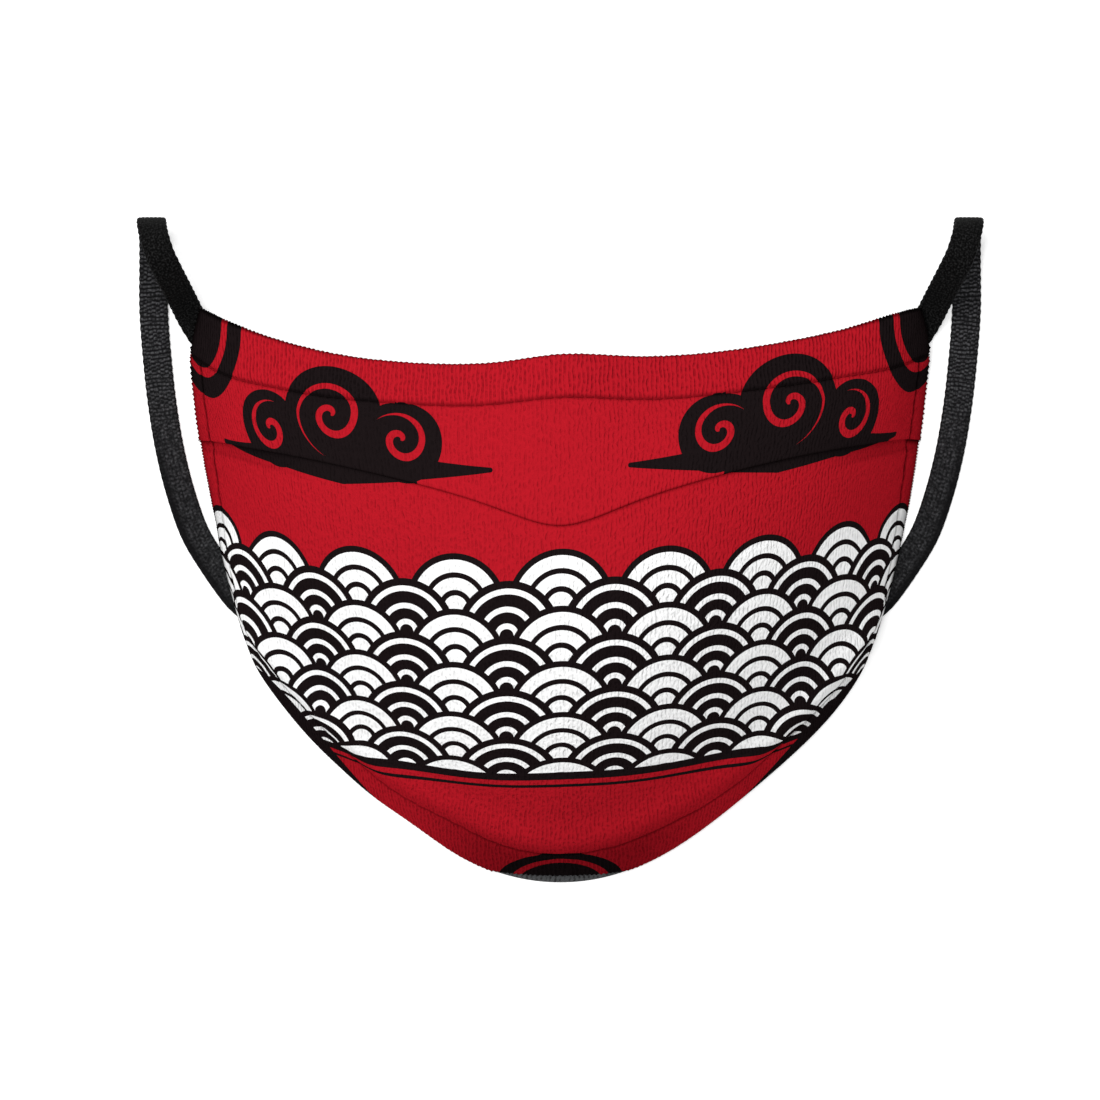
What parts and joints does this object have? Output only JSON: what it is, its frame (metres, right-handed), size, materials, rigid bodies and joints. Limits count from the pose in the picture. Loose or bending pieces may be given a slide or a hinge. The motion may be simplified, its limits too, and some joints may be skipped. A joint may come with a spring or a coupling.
{
  "type": "pleated cloth face mask",
  "caption": "Lined knit cloth mask that covers nose, mouth and chin, with a pleat across it and a flat elastic ear loop at each side, lying face up.",
  "frame": {"origin": "on the table under the middle of the mask's own box, ear loops left out", "axes": "+X across the face to the right of the picture, +Y from chin to nose, +Z out of the printed face, away from the table"},
  "size_m": [0.176, 0.1389, 0.0492],
  "materials": {
    "printed_knit": "matte printed polyester knit",
    "lining_knit": "matte charcoal knit",
    "elastic_tape": "matte black braided elastic"
  },
  "bodies": {
    "root": {"outer_cloth": "printed_knit", "lining": "lining_knit", "ear_loop_left": "elastic_tape", "ear_loop_right": "elastic_tape"}
  },
  "joints": []
}
